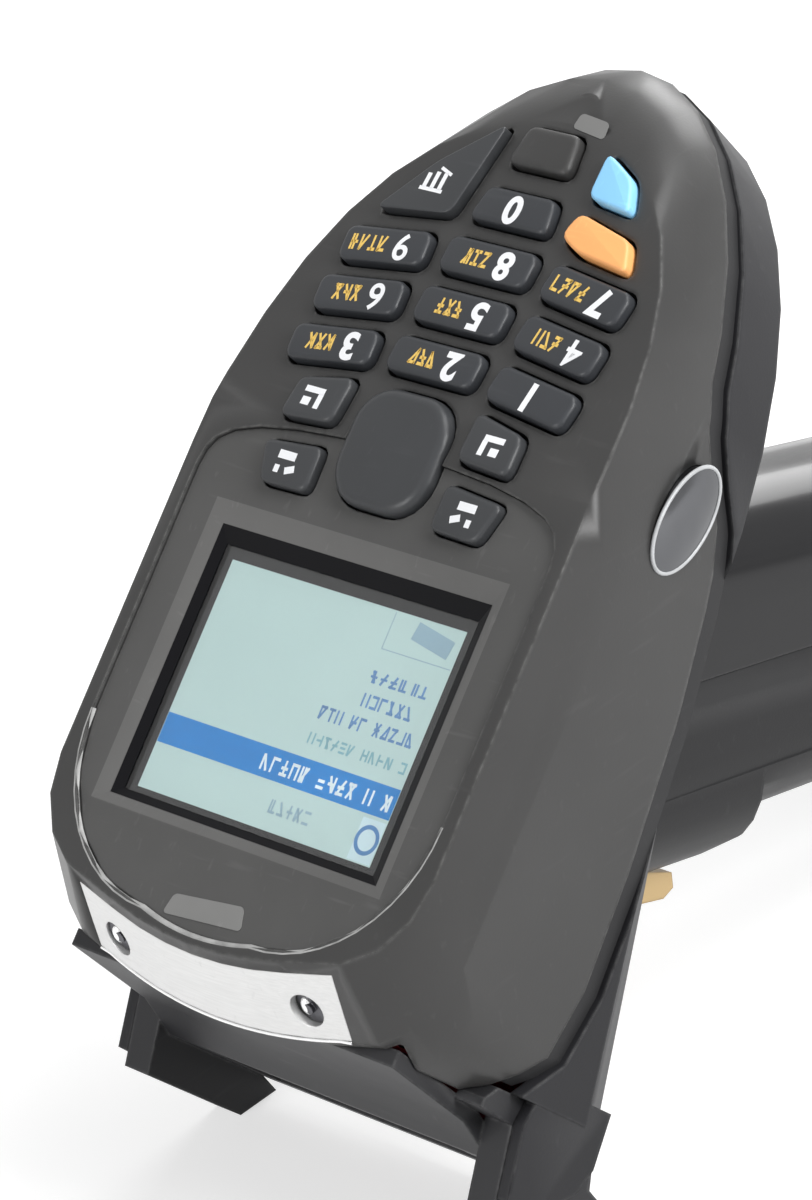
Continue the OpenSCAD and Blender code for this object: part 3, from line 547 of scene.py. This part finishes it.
def addLetters(bm, x, y, count, width, height, thick, placement):
    # strokes set like letters, which spell nothing: x and y are the first one's middle
    for index in range(count):
        for kind in pen.sample(sorted(strokes), pen.choice((2, 3, 3))):
            across, along, wide, high, turn = strokes[kind]
            left = x - index * width * letterPitch + across * width
            addBlock(bm, placement @ moved(left, y + along * height, 0),
                     (wide * width, high * height, thick), turn)


def addBlocks(name, ink, body, placement, thick, blocks):
    # flat prints, each block given as its middle, width, length and turn
    bm = bmesh.new()
    for x, y, width, length, turn in blocks:
        addBlock(bm, moved(x, y, 0), (width, length, thick), turn)
    finishMesh(bm, name, ink, body, placement)


def addCurveMesh(bm, curve, placement=None):
    holder = bpy.data.objects.new(curve.name, curve)
    bpy.context.collection.objects.link(holder)
    seen = holder.evaluated_get(bpy.context.evaluated_depsgraph_get())
    mesh = bpy.data.meshes.new_from_object(seen)
    if placement is not None:
        mesh.transform(placement)
    bm.from_mesh(mesh)
    bpy.data.objects.remove(holder)
    bpy.data.curves.remove(curve)
    bpy.data.meshes.remove(mesh)


keyPrint = {"proud": 1.5, "panelProud": 3.7, "ink": 0.03, "numeral": 4.1, "sizeOf": 1.38,
            "bold": 0.2, "fine": 0.07, "side": 3.4, "letterX": -0.2, "letterWidth": 1.35,
            "letterHeight": 2.4}
keypad = {"pitchX": 18.6, "pitchY": 7.8, "firstY": 49.8, "dip": 1.3, "lean": -7, "zeroY": 73.5}


def addNumeral(bm, text, placement):
    curve = bpy.data.curves.new("numeral", "FONT")
    curve.body = text
    curve.size = keyPrint["numeral"] * keyPrint["sizeOf"]
    curve.align_x = "CENTER"
    curve.align_y = "CENTER"
    curve.extrude = keyPrint["ink"]
    curve.offset = keyPrint["fine" if text in "469" else "bold"]  # bold fills their loops
    addCurveMesh(bm, curve, placement)


digitSpots = {"0": (0, keypad["zeroY"], 0)}
for number in range(1, 10):
    column, row = 1 - (number - 1) % 3, (number - 1) // 3
    y = keypad["firstY"] - keypad["dip"] * abs(column) + row * keypad["pitchY"]
    digitSpots[str(number)] = (column * keypad["pitchX"], y, keypad["lean"] * column)
for number, (x, y, lean) in digitSpots.items():
    body = f"key_{number}_body"
    top = moved(x, y, keyPrint["proud"]) @ turned(lean, "Z")
    lettered = number not in "01"
    aside = moved(-keyPrint["side"] if lettered else 0, 0, 0)
    bm = bmesh.new()
    addNumeral(bm, number, top @ turned(180, "Z") @ aside)
    finishMesh(bm, "numeral_" + number, "whiteInk", body, onKeys)
    if lettered:
        bm = bmesh.new()
        addLetters(bm, keyPrint["letterX"], 0, 4 if number in "79" else 3,
                   keyPrint["letterWidth"], keyPrint["letterHeight"], 2 * keyPrint["ink"], top)
        finishMesh(bm, "marks_" + number, "amberInk", body, onKeys)

keysTop = onKeys @ moved(0, 0, keyPrint["proud"])
panelTop = onHead @ moved(0, 0, keyPrint["panelProud"])
sideMarks = {
    "upper": (keysTop, ((16.8, 41.4, 3.6, 0.9, 0), (15.4, 39.9, 0.9, 2.2, 0),
                        (17.6, 39.6, 1.5, 1.2, 0))),
    "lower": (panelTop, ((16.9, 31.9, 3.2, 1.2, 0), (15.6, 30.0, 1.7, 1.0, 20),
                         (18.0, 29.8, 0.9, 1.1, 0))),
}
for sign, side in bothSides:
    side = side.lower()
    for row, (placement, blocks) in sideMarks.items():
        addBlocks(f"mark_{row}_{side}", "whiteInk", f"key_{side}_{row}_body", placement,
                  2 * keyPrint["ink"], [(sign * x, *rest) for x, *rest in blocks])
powerMark = [(-15.6, 73.4, 4.2, 0.55, 0), (-14.2, 74.9, 0.7, 2.6, 0), (-15.6, 74.9, 0.7, 2.6, 0),
             (-17.0, 74.7, 0.7, 2.2, 0), (-14.4, 76.5, 2.4, 0.5, -18)]
addBlocks("mark_power", "whiteInk", "key_power_body", keysTop, 2 * keyPrint["ink"], powerMark)
print("keys capped and printed")

# the levels are in thicknesses of ink above the screen's top
screen = {"top": -0.1, "ink": 0.02, "blockLevel": 1, "wordLevel": 1.6, "ringLevel": 2.5,
          "wordThick": 0.6, "wordGap": 0.8}


def onScreen(level):
    return moved(0, 0, screen["top"] + screen[level] * screen["ink"])


def printScreen(name, ink, *blocks):
    addBlocks(name, ink, "terminal", onHead @ onScreen("blockLevel"), screen["ink"], blocks)


def writeScreen(name, ink, *lines):
    # each line: the first letter's middle, how long its words are, a letter's width and height
    bm = bmesh.new()
    for x, y, counts, width, height in lines:
        for count in counts:
            addLetters(bm, x, y, count, width, height, screen["ink"] * screen["wordThick"],
                       onScreen("wordLevel"))
            x -= (count + screen["wordGap"]) * width * letterPitch
    finishMesh(bm, name, ink, "terminal", onHead)


printScreen("screenMask", "blackPrintAndShadow", (23.3, 0, 2.2, 38, 0), (-23.3, 0, 2.2, 38, 0),
            (0, 17.8, 44.4, 2.3, 0), (0, -17.6, 44.4, 1.9, 0))
printScreen("screenBar", "screenBlue", (0, -7.9, 44.2, 4.3, 0))
writeScreen("screenWords", "screenText", (20.2, 0.7, (5, 2, 3), 1.25, 1.9),
            (18.2, 4.0, (6,), 1.3, 1.9), (19.2, 7.3, (6,), 1.5, 1.7))
writeScreen("screenPaleRow", "screenTeal", (20.9, -3.0, (1, 4, 6), 1.2, 1.6))
writeScreen("screenBarWords", "screenWhite", (20.6, -8.0, (1, 1, 4, 5), 1.5, 2.2))
writeScreen("screenSmallWords", "screenGrey", (8.6, -13.3, (5,), 1.3, 1.9))
printScreen("screenPanel", "screenPale", (19.9, -13.5, 4.2, 5.9, 0))
printScreen("softKeyBlock", "screenGrey", (17.2, 14.2, 7.2, 2.6, -10))
printScreen("softKeyFrame", "screenGrey", (15.6, 11.2, 12.6, 0.14, 0), (9.3, 13.8, 0.14, 5.2, 0))

ring = {"x": 19.9, "y": -13.4, "radii": (2.1, 1.5), "steps": 32, "thick": 0.015}
bm = bmesh.new()
for radius in ring["radii"]:
    bmesh.ops.create_circle(bm, segments=ring["steps"], radius=radius, cap_ends=False,
                            matrix=moved(ring["x"], ring["y"], 0) @ onScreen("ringLevel"))
bmesh.ops.bridge_loops(bm, edges=bm.edges)
bmesh.ops.solidify(bm, geom=bm.faces[:], thickness=ring["thick"])
finishMesh(bm, "screenRing", "screenText", "terminal", onHead)
print("screen printed")

bead = {"resolution": 2, "smooth": 60}


def addTrim(name, finish, points, radius, closed=True, flat=1.0):
    # a fine round or flattened bead that follows the points on the head
    curve = bpy.data.curves.new(name, "CURVE")
    curve.dimensions = "3D"
    spline = curve.splines.new("POLY")
    spline.points.add(len(points) - 1)
    for target, point in zip(spline.points, points):
        target.co = (*point, 1)
    spline.use_cyclic_u = closed
    curve.bevel_depth = radius
    curve.bevel_resolution = bead["resolution"]
    curve.use_fill_caps = not closed
    bm = bmesh.new()
    addCurveMesh(bm, curve)
    if flat != 1.0:
        middle = sum((vert.co.z for vert in bm.verts), 0.0) / len(bm.verts)
        bmesh.ops.scale(bm, vec=(1, 1, flat), verts=bm.verts, space=moved(0, 0, -middle))
    finishMesh(bm, name, finish, "terminal", onHead, smooth=bead["smooth"])


bezelRim = {"halfWidth": 33.2, "front": -31.8, "bulge": 1.3, "corner": 23, "steps": 12,
            "widen": 1.008, "lengthen": 1.006, "z": 2.45, "radius": 0.55, "flat": 0.7}


def bezelRimPoints():
    # round the front from the left side to the right side, as far as the wear and its painted
    # highlight go
    front, corner, steps = bezelRim["front"], bezelRim["corner"], bezelRim["steps"]
    straight = bezelRim["halfWidth"] - corner
    right = [(straight * step / steps, front - bezelRim["bulge"] * (1 - (step / steps) ** 2))
             for step in range(steps)]
    for step in range(steps + 1):
        angle = math.radians(-90 + 90 * step / steps)
        right.append((straight + corner * math.cos(angle),
                      front + corner + corner * math.sin(angle)))
    left = [(-x, y) for x, y in reversed(right) if x > 0]
    return [(x * bezelRim["widen"], y * bezelRim["lengthen"], bezelRim["z"])
            for x, y in left + right]


# a pale bead along the bezel's front rim: edge wear with a painted edge highlight
addTrim("bezelRimWearAndHighlight", "wornRimAndHighlight", bezelRimPoints(), bezelRim["radius"], closed=False,
        flat=bezelRim["flat"])

# a painted shadow: a black sheet over the lower part of the recess round the display, up to a
# share of the recess's rise;
# low and high are two corners and a height
well = {"low": (-23.8, -17.55, 23.8, 18.35, 0.7), "high": (-27.6, -20.25, 27.6, 24.35, 2.2),
        "share": 0.42, "proud": 0.02, "thick": 0.03}
bm = bmesh.new()
loops = []
for share in (0.0, well["share"]):
    x0, y0, x1, y1, z = (low + (high - low) * share
                         for low, high in zip(well["low"], well["high"]))
    verts = [bm.verts.new((x, y, z + well["proud"]))
             for x, y in ((x0, y0), (x1, y0), (x1, y1), (x0, y1))]
    loops += [bm.edges.new((verts[i], verts[(i + 1) % 4])) for i in range(4)]
bmesh.ops.bridge_loops(bm, edges=loops)
bmesh.ops.recalc_face_normals(bm, faces=bm.faces)
bmesh.ops.solidify(bm, geom=bm.faces[:], thickness=well["thick"])
# the black sheet in the recess is a painted shadow
finishMesh(bm, "displayWellShadow", "blackPrintAndShadow", "terminal", onHead)


def raisedFace(corners, rise):
    bm = bmesh.new()
    bm.faces.new([bm.verts.new(corner) for corner in corners])
    parts = bmesh.ops.extrude_face_region(bm, geom=bm.faces[:])["geom"]
    verts = [part for part in parts if isinstance(part, bmesh.types.BMVert)]
    bmesh.ops.translate(bm, vec=rise, verts=verts)
    return bm


# the bare plate in front of the display and the bare patch beside the blank key
plates = {
    "frontPlate": (onHead, 2.18, ((-7.0, -31.6), (7.4, -30.4), (6.4, -27.2), (-6.2, -28.6))),
    "crownPlate": (onKeys, -0.02, ((1.2, 87.4), (7.4, 86.6), (7.0, 89.2), (1.6, 89.8))),
}
plateMade = {"thick": 0.1, "corner": 0.7, "steps": 4}
for name, (placement, z, corners) in plates.items():
    bm = raisedFace([(x, y, z) for x, y in corners], (0, 0, plateMade["thick"]))
    upright = [edge for edge in bm.edges
               if abs(edge.verts[0].co.z - edge.verts[1].co.z) > plateMade["thick"] / 2]
    bmesh.ops.bevel(bm, geom=upright, offset=plateMade["corner"], segments=plateMade["steps"],
                    profile=0.5, affect="EDGES", material=-1)
    finishMesh(bm, name, "plate", "terminal", placement)

# the bright lip that follows the lower edge of the silver strip
lip = {"front": -38.35, "bulge": 3.3, "half": 23.2, "z": -7.65, "reach": 24.2, "radius": 0.26,
       "steps": 12}
lipPoints = []
for step in range(2 * lip["steps"] + 1):
    x = lip["reach"] * (step / lip["steps"] - 1)
    y = lip["front"] - lip["bulge"] * (1 - min(1, abs(x) / lip["half"]) ** 2)
    lipPoints.append((x, y, lip["z"]))
addTrim("stripLip", "chrome", lipPoints, lip["radius"], closed=False)

# the rounded tips in the strip's two charging recesses
contact = {"x": 18.2, "y": -36.8, "z": -3.6, "slope": 54.7, "size": (1.0, 1.5, 0.7),
           "offset": (-0.7, 0, -1.0), "around": 24, "over": 12, "smooth": 60}
for sign, side in bothSides:
    bm = bmesh.new()
    bmesh.ops.create_uvsphere(bm, u_segments=contact["around"], v_segments=contact["over"],
                              radius=1.0)
    bmesh.ops.scale(bm, vec=contact["size"], verts=bm.verts)
    bmesh.ops.translate(bm, vec=contact["offset"], verts=bm.verts)
    seat = moved(sign * contact["x"], contact["y"], contact["z"]) @ turned(contact["slope"], "X")
    finishMesh(bm, "contactTip" + side, "chrome", "terminal", onHead @ seat,
               smooth=contact["smooth"])

# the thin webs that close the ends of the nose behind its cheeks
web = {"inner": 29.8, "outer": 30.98,
       "outline": ((-44.9, -57.1), (-36.3, -53.1), (-36.3, -46.5), (-44.9, -48.0))}
for sign, side in bothSides:
    bm = raisedFace([(sign * web["inner"], y, z) for y, z in web["outline"]],
                    (sign * (web["outer"] - web["inner"]), 0, 0))
    finishMesh(bm, "hoodWeb" + side, "hood", "terminal", onHead)

# a bright ring round each side lens: its polished bezel with a painted highlight
lensRim = {"x": 36.9, "y": 41.5, "z": -14.6, "long": 7.95, "short": 4.75, "turn": -12,
           "radius": 0.3, "steps": 48}
for sign, side in bothSides:
    seat = moved(sign * lensRim["x"], lensRim["y"], lensRim["z"]) @ turned(lensRim["turn"], "X")
    points = []
    for step in range(lensRim["steps"]):
        angle = 2 * math.pi * step / lensRim["steps"]
        points.append(seat @ Vector((0, lensRim["long"] * math.cos(angle),
                                     lensRim["short"] * math.sin(angle))))
    addTrim("lensRim" + side, "lensRimAndHighlight", points, lensRim["radius"])
print("trim added")

for node, obj in frame["nodes"].items():
    obj.data.materials.clear()
    obj.data.materials.append(finishes[slotOf[node]])


def shownTo(nodes, link):
    # 1 where the camera, a gloss or a glass looks at it, 0 where it only lights
    rays = nodes.new("ShaderNodeLightPath").outputs
    indirect = mathNode(nodes, link, "MAXIMUM", rays["Is Glossy Ray"],
                        rays["Is Transmission Ray"])
    return mathNode(nodes, link, "MAXIMUM", rays["Is Camera Ray"], indirect)


studio = {"halfSize": 6.0, "cells": 8, "floor": (0.62, 0.62, 0.62), "rough": 0.9,
          "gloss": 0.1, "floorLift": 0.58, "fill": 0.22}
bm = bmesh.new()
bmesh.ops.create_grid(bm, x_segments=studio["cells"], y_segments=studio["cells"],
                      size=studio["halfSize"])
floorMesh = bpy.data.meshes.new("studioFloor")
bm.to_mesh(floorMesh)
bm.free()
floor = bpy.data.objects.new("studioFloor", floorMesh)
bpy.context.collection.objects.link(floor)
floorMaterial, nodes, link, shader = newMaterial("studioFloor")
shader.inputs["Base Color"].default_value = (*studio["floor"], 1)
shader.inputs["Roughness"].default_value = studio["rough"]
shader.inputs["Specular IOR Level"].default_value = studio["gloss"]
shader.inputs["Emission Color"].default_value = (1, 1, 1, 1)
link(mathNode(nodes, link, "MULTIPLY", shownTo(nodes, link), studio["floorLift"]),
     shader.inputs["Emission Strength"])
floorMesh.materials.append(floorMaterial)

# the world is white where it is looked at and lights with its fill alone
world = bpy.data.worlds.new("studio")
bpy.context.scene.world = world
world.use_nodes = True
nodes = world.node_tree.nodes
link = world.node_tree.links.new
background = nodes["Background"]
background.inputs["Color"].default_value = (1, 1, 1, 1)
shown = mathNode(nodes, link, "MULTIPLY", shownTo(nodes, link), 1 - studio["fill"])
link(mathNode(nodes, link, "ADD", shown, studio["fill"]), background.inputs["Strength"])

# each lamp: its place, aim, size and power, in metres and watts
lamps = {
    "overhead": ((0.3, 0.3, 0.9), (0, 0, 0.05), (0.6, 0.5), 5.4),
    "side": ((0.9, 0.05, 0.55), (0, 0, 0.09), (0.3, 0.6), 9.0),
    "front": ((-0.1, -0.95, 0.34), (0, -0.05, 0.05), (0.4, 0.4), 4.0),
    "rearEdge": ((-0.3, 0.85, 0.5), (0, 0.03, 0.13), (0.6, 0.5), 4.5),
}
for name, (place, aim, size, power) in lamps.items():
    lamp = bpy.data.lights.new(name, "AREA")
    lamp.shape = "RECTANGLE"
    lamp.size, lamp.size_y = size
    lamp.energy = power
    holder = bpy.data.objects.new(name, lamp)
    holder.location = place
    holder.rotation_euler = (Vector(aim) - Vector(place)).to_track_quat("-Z", "Y").to_euler()
    bpy.context.collection.objects.link(holder)

# rows are the camera's right, up and back on the head; offset is its place along them in mm
view = {"rows": ((0.709, 0.383, -0.5921), (-0.2192, 0.9178, 0.3311), (0.6703, -0.105, 0.7347)),
        "offset": (13.959, 14.738, 772.0), "lens": 174.48, "sensor": 36, "near": 0.01, "far": 50}
axes = Matrix(view["rows"]).transposed()
eye = onHead @ (axes @ Vector(view["offset"]))
aimed = (turned(stance["lean"], "X").to_3x3() @ axes).to_quaternion().to_matrix().to_4x4()
cameraData = bpy.data.cameras.new("camera")
cameraData.sensor_fit = "VERTICAL"
cameraData.sensor_height = view["sensor"]
cameraData.lens = view["lens"]
cameraData.clip_start = view["near"]
cameraData.clip_end = view["far"]
camera = bpy.data.objects.new("camera", cameraData)
camera.matrix_world = Matrix.Translation(eye) @ aimed
bpy.context.collection.objects.link(camera)
bpy.context.scene.camera = camera
bpy.context.scene.view_settings.view_transform = "Standard"
print("stage set")

bpy.context.view_layer.update()
